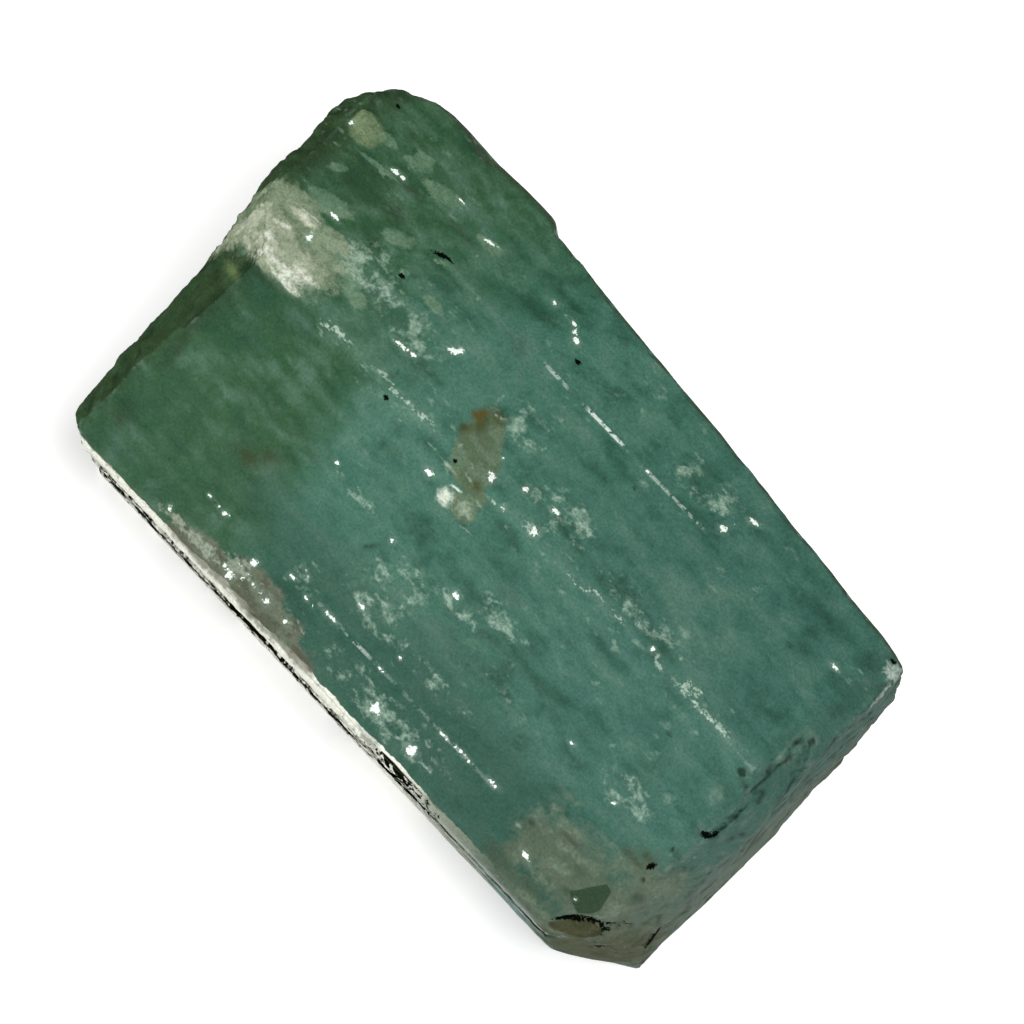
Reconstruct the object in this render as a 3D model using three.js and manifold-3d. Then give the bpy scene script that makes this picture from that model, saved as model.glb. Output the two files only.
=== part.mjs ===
// A rough emerald crystal: one stubby six-sided beryl prism, lying on a prism face.
//
// Millimetres. X runs along the crystal's long axis and Z is up. Seen along X, the six
// prism faces follow each other at 60 degrees: top, front, frontUnder, bottom, backUnder
// and back. The ridge between top and front is the line y = 0, z = height while the
// crystal is cut; at the end it is moved so that the origin is on the bottom face, in the
// middle of the crystal's box.

import * as THREE from 'three';
import { mergeVertices } from 'three/addons/utils/BufferGeometryUtils.js';
import Module from 'manifold-3d';

const wasm = await Module();
wasm.setup();

// Widths of three neighbouring prism faces and of the bottom one. The other two follow,
// because opposite faces of the prism are parallel.
const topWidth = 10.3;
const frontWidth = 10.66;
const frontUnderWidth = 9.8;
const bottomWidth = 10.9;
const backUnderWidth = topWidth + frontWidth - bottomWidth;
const backWidth = frontWidth + frontUnderWidth - backUnderWidth;

const faceAngle = Math.PI / 3;                                          // between neighbours
const height = (frontWidth + frontUnderWidth) * Math.sin(faceAngle);

// The uncut prism reaches past both ends, which the cuts then shape.
const prismStart = -19;
const prismEnd = 17;

// The corners between the faces are worn, and growth terraces run the length of a face. Each
// terrace lies deeper than its face by depth, between two distances from the face's start. The
// faces go round from the ridge by way of the back.
const rampWidth = 0.12;
// How far in a worn corner's middle lies, as a share of its wear.
const wornShare = 0.3;
const prismFaces = [
  // top
  { width: topWidth, wear: 0.3,
    terraces: [{ from: 1.2, to: 5.6, depth: 0.03 }] },
  // back
  { width: backWidth, wear: 0.4,
    terraces: [{ from: 2.2, to: 5.1, depth: 0.16 }, { from: 7.4, to: 9.3, depth: 0.1 }] },
  // under the back
  { width: backUnderWidth, wear: 0.45,
    terraces: [{ from: 3.4, to: 7.8, depth: 0.12 }] },
  // bottom
  { width: bottomWidth, wear: 0.35,
    terraces: [] },
  // under the front
  { width: frontUnderWidth, wear: 0.3,
    terraces: [{ from: 2.1, to: 3.4, depth: 0.22 }, { from: 5.2, to: 7.9, depth: 0.3 }] },
  // front
  { width: frontWidth, wear: 0.25,
    terraces: [{ from: 2.36, to: 6.66, depth: 0.035 }] },
];

// Places on the two faces beside the ridge, by x and by the distance from the ridge.
const onTop = (x, back) => new THREE.Vector3(x, back, height);
const onFront = (x, down) => new THREE.Vector3(
  x, -down * Math.cos(faceAngle), height - down * Math.sin(faceAngle));

// The middle of the cross-section.
const middleBack = 5.1;
const middle = (x) => new THREE.Vector3(x, middleBack, height / 2);

// Breaks that cut the prism: each takes off all that lies past the place `at`, on the side
// that it faces. Unevenness is the height of the bumps on the broken surface.
const breaks = [
  // left end: two slanting fractures, with a worn edge towards the front and the top
  { at: onTop(-15.6, 4), facing: [-1, -0.08, -0.05], unevenness: 0.14, seed: 1.3 },
  { at: onTop(-14.3, 0), facing: [-1, -0.3, 0.188], unevenness: 0.1, seed: 4.1 },
  { at: onFront(-13.5, 4), facing: [-0.7, -0.584, 0.389], unevenness: 0.1, seed: 2.2 },
  { at: onTop(-15.05, 5.5), facing: [-0.72, -0.055, 0.69], unevenness: 0.06, seed: 5.7 },
  // broad round corner at the back of the left end
  { at: onTop(-15.7, 7.8), facing: [-0.93, 0.37, 0.21], unevenness: 0.04, seed: 0.4 },
  { at: onTop(-15.19, 8.64), facing: [-0.85, 0.53, 0.31], unevenness: 0.04, seed: 3.3 },
  { at: onTop(-14.1, 9.76), facing: [-0.55, 0.835, 0.48], unevenness: 0.04, seed: 6.1 },
  { at: onTop(-13.1, 10.2), facing: [-0.2, 0.87, 0.5], unevenness: 0.04, seed: 7.3 },
  // front lower corner of the left end
  { at: onFront(-13.3, frontWidth), facing: [-0.527, -0.743, -0.417], unevenness: 0.08, seed: 2.9 },
  // right end: nearly square to the prism, with two sloping breaks towards the front
  { at: middle(13.52), facing: [1, 0.06, 0], unevenness: 0.16, seed: 7.7 },
  { at: onFront(12.62, 5), facing: [0.88, -0.399, 0.108], unevenness: 0.12, seed: 1.9 },
  { at: onTop(12.65, 1.2), facing: [0.85, -0.2, 0.48], unevenness: 0.08, seed: 8.2 },
  // front lower corner of the right end, broken off in two facets
  { at: onFront(11.1, frontWidth), facing: [0.617, -0.682, -0.4], unevenness: 0.16, seed: 3.8 },
  { at: onFront(11.5, 8.7), facing: [0.36, -0.87, 0.33], unevenness: 0.05, seed: 9.1 },
  // top back corner of the right end
  { at: onTop(13.2, 7.8), facing: [0.66, 0.13, 0.72], unevenness: 0.05, seed: 5.2 },
  { at: onTop(10.49, 8.44), facing: [0.22, 0.87, 0.43], unevenness: 0.05, seed: 4.6 },
];
const breakReach = 46;                                                  // size of a cutter
const breakThickness = 12;
const breakCells = 38;                                                  // its bumps' grid

// The long break that takes a strip off the back face, from a notch to the right end.
const notch = {
  x: -7.0, back: 9.93, narrowing: 0.085, sideSlope: 1.7, unevenness: 0.08, length: 24,
  cellsAlong: 24, cellsAcross: 16, seed: 2.6,
};

// Shallow chips out of the edges: large spheres that bite into the prism by a little.
const chips = [
  { at: onTop(-11.0, topWidth), radius: 3.6, bite: 0.28 },
  { at: onFront(4.4, frontWidth), radius: 2.4, bite: 0.2 },
  { at: onFront(-3.1, frontWidth), radius: 3.2, bite: 0.18 },
  { at: onTop(-14.2, 0), radius: 2.6, bite: 0.2 },
  { at: new THREE.Vector3(-6.2, 14.8, 8.7), radius: 5, bite: 0.35 },
  { at: new THREE.Vector3(5.4, 14.2, 8.2), radius: 6, bite: 0.3 },
];

const emerald = new THREE.MeshStandardMaterial({
  name: 'emerald', color: 0x437161, roughness: 0.35, metalness: 0,
});

// ---------------------------------------------------------------- solids and geometries

// A closed geometry as a solid, with its shared vertices merged.
const mergeGap = 1e-4;
function toSolid(geometry) {
  const shape = geometry.clone();
  shape.deleteAttribute('normal');
  shape.deleteAttribute('uv');
  const merged = mergeVertices(shape, mergeGap);
  return new wasm.Manifold(new wasm.Mesh({
    numProp: 3,
    vertProperties: Float32Array.from(merged.attributes.position.array),
    triVerts: Uint32Array.from(merged.index.array),
  }));
}

function toGeometry(solid) {
  const mesh = solid.getMesh();
  const geometry = new THREE.BufferGeometry();
  geometry.setAttribute('position', new THREE.BufferAttribute(mesh.vertProperties, 3));
  geometry.setIndex(new THREE.BufferAttribute(mesh.triVerts, 1));
  geometry.computeVertexNormals();
  return geometry;
}

// ---------------------------------------------------------------- prism

// The outline of the cross-section, counter-clockwise in y and z, from the ridge round by
// the back. Every face starts and ends beside its worn corners and dips into its terraces.
function prismOutline() {
  const start = new THREE.Vector2(0, height);
  const along = new THREE.Vector2(1, 0);
  const corner = start.clone();
  const points = [];
  prismFaces.forEach((face, i) => {
    const inward = new THREE.Vector2(along.y, -along.x);
    const place = (distance, depth) => corner.clone()
      .addScaledVector(along, distance).addScaledVector(inward, depth);
    const wearBefore = prismFaces[(i + prismFaces.length - 1) % prismFaces.length].wear;
    points.push(place(wearBefore, 0));
    for (const { from, to, depth } of face.terraces) {
      points.push(place(from, 0), place(from + rampWidth, depth));
      points.push(place(to - rampWidth, depth), place(to, 0));
    }
    points.push(place(face.width - face.wear, 0));
    points.push(place(face.width, wornShare * face.wear));
    corner.addScaledVector(along, face.width);
    along.rotateAround(new THREE.Vector2(), -faceAngle);
  });
  return points.reverse();
}

function makePrism() {
  const outline = new THREE.Shape(prismOutline());
  const prism = new THREE.ExtrudeGeometry(outline, {
    depth: prismEnd - prismStart, steps: 1, bevelEnabled: false,
  });
  const turned = new THREE.Matrix4().makeBasis(
    new THREE.Vector3(0, 1, 0), new THREE.Vector3(0, 0, 1), new THREE.Vector3(1, 0, 0));
  prism.applyMatrix4(turned);
  prism.translate(prismStart, 0, 0);
  return toSolid(prism);
}

// ---------------------------------------------------------------- breaks

// Bumps of a broken surface, from about -1 to 1: broad swells and smaller ones across them.
function bumps(a, b, seed) {
  return 0.5 * Math.sin(0.42 * a + 0.3 * b + seed)
    + 0.3 * Math.sin(0.9 * b - 0.5 * a + 2.1 * seed)
    + 0.2 * Math.sin(1.9 * a + 1.3 * b + 3.7 * seed);
}

// A block whose near side is the broken surface. Taking it away leaves that surface.
function breakBlock({ at, facing, unevenness, seed }) {
  const thickness = breakThickness;
  const block = new THREE.BoxGeometry(
    breakReach, breakReach, thickness, breakCells, breakCells, 1);
  block.translate(0, 0, thickness / 2);
  const position = block.attributes.position;
  for (let i = 0; i < position.count; i++) {
    if (position.getZ(i) > thickness / 2) continue;
    position.setZ(i, unevenness * bumps(position.getX(i), position.getY(i), seed));
  }
  const towards = new THREE.Vector3(...facing).normalize();
  block.applyQuaternion(new THREE.Quaternion().setFromUnitVectors(
    new THREE.Vector3(0, 0, 1), towards));
  block.translate(at.x, at.y, at.z);
  return toSolid(block);
}

// The strip off the back face: a block that starts at the notch with a sloping side.
const nearEnd = 0.01;                                                   // the near end's x is below this
function longBreakBlock() {
  const block = new THREE.BoxGeometry(
    notch.length, breakReach, breakThickness, notch.cellsAlong, notch.cellsAcross, 1);
  block.translate(notch.length / 2, 0, breakThickness / 2);
  const position = block.attributes.position;
  for (let i = 0; i < position.count; i++) {
    const [a, b, c] = [position.getX(i), position.getY(i), position.getZ(i)];
    const low = c < breakThickness / 2;
    if (low) position.setZ(i, notch.unevenness * bumps(a, b, notch.seed));
    if (a < nearEnd) position.setX(i, -notch.sideSlope * c);
  }
  const outward = new THREE.Vector3(
    notch.narrowing, Math.sin(faceAngle), Math.cos(faceAngle)).normalize();
  const lengthwise = new THREE.Vector3(1, 0, 0).projectOnPlane(outward).normalize();
  const across = outward.clone().cross(lengthwise);
  block.applyMatrix4(new THREE.Matrix4().makeBasis(lengthwise, across, outward));
  const start = onTop(notch.x, notch.back);
  block.translate(start.x, start.y, start.z);
  return toSolid(block);
}

// A sphere that bites into the nearest surface, towards the prism's middle line.
function chipBall({ at, radius, bite }) {
  const ball = new THREE.IcosahedronGeometry(radius, 4);
  const outward = at.clone().sub(middle(at.x)).normalize();
  const centre = at.clone().addScaledVector(outward, radius - bite);
  ball.translate(centre.x, centre.y, centre.z);
  return toSolid(ball);
}

// ---------------------------------------------------------------- crystal

function makeCrystal() {
  let solid = makePrism();
  for (const fracture of breaks) solid = solid.subtract(breakBlock(fracture));
  solid = solid.subtract(longBreakBlock());
  for (const chip of chips) solid = solid.subtract(chipBall(chip));

  const geometry = toGeometry(solid);
  geometry.computeBoundingBox();
  const { min, max } = geometry.boundingBox;
  geometry.translate(-(min.x + max.x) / 2, -(min.y + max.y) / 2, -min.z);

  const crystal = new THREE.Mesh(geometry, emerald);
  crystal.name = 'emerald_crystal';
  return crystal;
}

const emeraldCrystal = new THREE.Group();
emeraldCrystal.name = 'emerald_crystal_group';
emeraldCrystal.add(makeCrystal());

export default emeraldCrystal;
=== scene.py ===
import math

import bmesh
import bpy
import numpy as np
from mathutils import Matrix, Vector


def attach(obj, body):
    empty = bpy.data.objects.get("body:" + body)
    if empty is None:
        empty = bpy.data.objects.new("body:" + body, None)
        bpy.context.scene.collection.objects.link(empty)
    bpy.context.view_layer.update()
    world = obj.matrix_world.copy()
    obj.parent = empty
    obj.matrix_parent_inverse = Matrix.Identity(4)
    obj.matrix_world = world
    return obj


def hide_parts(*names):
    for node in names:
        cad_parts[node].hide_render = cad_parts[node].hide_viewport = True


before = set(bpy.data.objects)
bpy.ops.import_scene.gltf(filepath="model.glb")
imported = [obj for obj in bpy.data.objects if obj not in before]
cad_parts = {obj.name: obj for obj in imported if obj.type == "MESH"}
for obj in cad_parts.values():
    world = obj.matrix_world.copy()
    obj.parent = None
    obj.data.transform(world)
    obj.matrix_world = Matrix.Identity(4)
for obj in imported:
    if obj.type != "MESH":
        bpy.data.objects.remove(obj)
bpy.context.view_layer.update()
scene = bpy.context.scene
mm = 0.001

# The camera looks down on the ridge between the top face and the front face.
camera = {
    "turn": 6.0,  # degrees round towards the broken corner
    "height": 57.0,  # degrees above the table
    "roll": 46.385,
    "away": 400.0,  # mm
    "lens": 393.7,
    "aim": (0.704, -4.924, 17.719),  # mm
}

print("camera")
turn, height, roll = (math.radians(camera[k]) for k in ("turn", "height", "roll"))
back = Vector((math.sin(turn), -math.cos(turn) * math.cos(height), math.cos(turn) * math.sin(height)))
level = Vector((math.cos(turn), math.sin(turn) * math.cos(height), -math.sin(turn) * math.sin(height)))
rise = Vector((0, math.sin(height), math.cos(height)))
right = level * math.cos(roll) + rise * math.sin(roll)
up = rise * math.cos(roll) - level * math.sin(roll)
eye = (Vector(camera["aim"]) + back * camera["away"]) * mm
cameraData = bpy.data.cameras.new("camera")
cameraData.lens = camera["lens"]
cameraData.sensor_width = 36
cameraData.clip_start, cameraData.clip_end = 0.01, 10
cameraObject = bpy.data.objects.new("camera", cameraData)
cameraObject.matrix_world = Matrix.Translation(eye) @ Matrix((right, up, back)).transposed().to_4x4()
scene.collection.objects.link(cameraObject)
scene.camera = cameraObject


class Wire:
    # A socket and its node tree, so that sums on values and vectors are plain expressions.
    def __init__(self, tree, socket):
        self.tree, self.socket = tree, socket

    def sum(self, operation, *others):
        inputs = dict(enumerate((self, *others)))
        return addNode(self.tree, "ShaderNodeMath", {"operation": operation}, 0, inputs)

    def vec(self, operation, other=(0, 0, 0), out=0):
        sockets = {0: self, 1: other}
        return addNode(self.tree, "ShaderNodeVectorMath", {"operation": operation}, out, sockets)

    def __add__(self, other):
        return self.sum("ADD", other)

    __radd__ = __add__

    def __sub__(self, other):
        return self.sum("SUBTRACT", other)

    def __rsub__(self, other):
        sockets = {0: other, 1: self}
        return addNode(self.tree, "ShaderNodeMath", {"operation": "SUBTRACT"}, 0, sockets)

    def __mul__(self, other):
        return self.sum("MULTIPLY", other)

    __rmul__ = __mul__

    def __abs__(self):
        return self.sum("ABSOLUTE")

    def timesPlus(self, factor, more):
        return self.sum("MULTIPLY_ADD", factor, more)

    def scaled(self, factor):
        sockets = {0: self, "Scale": factor}
        return addNode(self.tree, "ShaderNodeVectorMath", {"operation": "SCALE"}, 0, sockets)

    def bigger(self, other):
        return self.sum("MAXIMUM", other)

    def smaller(self, other):
        return self.sum("MINIMUM", other)

    def step(self, low, high):
        # 0 below low, 1 above high, and a smooth ramp between them; low may be the greater.
        sockets = {"Value": self, "From Min": low, "From Max": high, "To Min": 0.0, "To Max": 1.0}
        if low > high:
            sockets.update({"From Min": high, "From Max": low, "To Min": 1.0, "To Max": 0.0})
        settings = {"interpolation_type": "SMOOTHSTEP"}
        return addNode(self.tree, "ShaderNodeMapRange", settings, 0, sockets)

    def band(self, low, high, soft):
        return self.step(low - soft, low + soft) * self.step(high + soft, high - soft)

    def noise(self, size, detail=2.0, rough=0.5, stretch=(1, 1, 1), shift=(0, 0, 0), out=0):
        # size is the width in mm of one lump
        moved = self.vec("ADD", shift).vec("MULTIPLY", tuple(1 / (size * s) for s in stretch))
        sockets = {"Vector": moved, "Scale": 1.0, "Detail": detail, "Roughness": rough}
        return addNode(self.tree, "ShaderNodeTexNoise", None, out, sockets)

    def split(self):
        node = addNode(self.tree, "ShaderNodeSeparateXYZ", None, 0, {0: self}).socket.node
        return [Wire(self.tree, s) for s in node.outputs]

    def colour(self, other, share):
        # this colour with a share of another over it
        return mixColours(self.tree, self, other, share)


def addNode(tree, kind, settings=None, out=0, inputs=None):
    node = tree.nodes.new(kind)
    for name, value in (settings or {}).items():
        setattr(node, name, value)
    for name, value in (inputs or {}).items():
        socket = findSocket(node.inputs, name)
        if isinstance(value, Wire):
            tree.links.new(value.socket, socket)
        else:
            socket.default_value = (*value, 1) if socket.type == "RGBA" else value
    return Wire(tree, findSocket(node.outputs, out))


def findSocket(sockets, name):
    if isinstance(name, int):
        return sockets[name]
    return [s for s in sockets if s.name == name and s.enabled][0]


def mixColours(tree, first, second, share):
    sockets = {"Factor": share, "A": first, "B": second}
    return addNode(tree, "ShaderNodeMix", {"data_type": "RGBA"}, "Result", sockets)


# The crystal: a milky green beryl prism that lies on one of its six faces. Lengths are mm.
crystal = {
    "ridgeY": -5.072,  # the ridge between the top face and the front face runs along x
    "ridgeZ": 17.719,
    "endX": 14.0,  # the broken right end
    "rearY": 5.2,  # the edge between the top face and the rear face
    "corner": (13.5, -6.4, 4.0),  # in the middle of the broken corner's facet
    "lowerEdge": 10.5,  # down the front face, where the white splinters are
    "grain": 0.1,  # size of the remeshed surface's squares
    "triangles": 194000,
    # heights of the relief
    "swell": 0.12,  # slow waves of every face
    "growthLines": 0.02,
    "lumps": 0.05,
    "grit": 0.015,
    "wornEdges": 0.06,
    "chippedEdges": 0.5,
    "farEdgeChips": (0.08, 0.06),
    "lowCornerDrop": 0.3,
    "shells": (0.3, 0.12),  # on the left end and on the right end
    "leftHollow": 0.28,
    "endLumps": (0.16, 0.12),
    "seams": 0.05,
    "slivers": (0.12, 0.2),  # above and below the lower edge
    "stepEdges": 0.03,
    "inset": 0.05,  # the whole surface, so that the relief stays by the solid
    # milk, gloss and fine bumps
    "refraction": 1.57,
    "specular": 0.12,
    "clearShare": 0.08,
    "gloss": 0.36,  # roughness of the prism faces
    "fineBumps": 0.02,
    "fineGrain": (0.7, 0.3),  # how much the tiny and the fine grain change the colour
    # colours, the x between which one turns into the next, and how strong they are
    "teal": (0.049, 0.148, 0.105),
    "blueTeal": (0.044, 0.131, 0.101),
    "blueFrom": (-2, 8),
    "leafGreen": (0.027, 0.086, 0.034),
    "leafGreenFrom": (-3.6, -6.6),  # on the front face
    "leafGreenElse": (-3.5, -11),  # on the other faces
    "milkiness": 0.68,  # share of pale green
    "darkness": 0.8,  # share of deep green
    "flakiness": 0.36,
    "fleckShare": 0.5,
    "wornShare": 0.35,
    "creaseShadeShare": 0.6,
    "darkGreen": (0.030, 0.053, 0.021),
    "paleGreen": (0.105, 0.200, 0.150),
    "deepGreen": (0.013, 0.056, 0.034),
    "flakyGreen": (0.105, 0.195, 0.130),
    "fleckGreen": (0.21, 0.32, 0.24),
    "haloGreen": (0.24, 0.35, 0.27),
    "wornGreen": (0.14, 0.21, 0.16),
    # painted shade in creases
    "creaseShadeGreen": (0.012, 0.028, 0.018),
    "glintWhite": (0.7, 0.8, 0.72),
    # white of the splinters, and the painted reflection of the table on the under face
    "splinterWhiteAndReflection": (0.82, 0.83, 0.72),
    "brokenGrey": (0.20, 0.225, 0.165),
    # black of the cracks, and the painted shadow low on the under face
    "crackAndShadowBlack": (0.003, 0.004, 0.002),
    # the right end: upper part, lower part, pale grains, dark grains, seams
    "rightEnd": (
        (0.040, 0.106, 0.082), (0.094, 0.128, 0.092), (0.150, 0.195, 0.155), (0.008, 0.018, 0.012),
        (0.006, 0.010, 0.007),
    ),
    # the left end: pale grains, dark grains, seams
    "leftEnd": ((0.064, 0.125, 0.066), (0.010, 0.024, 0.010), (0.008, 0.018, 0.008)),
}
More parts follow.
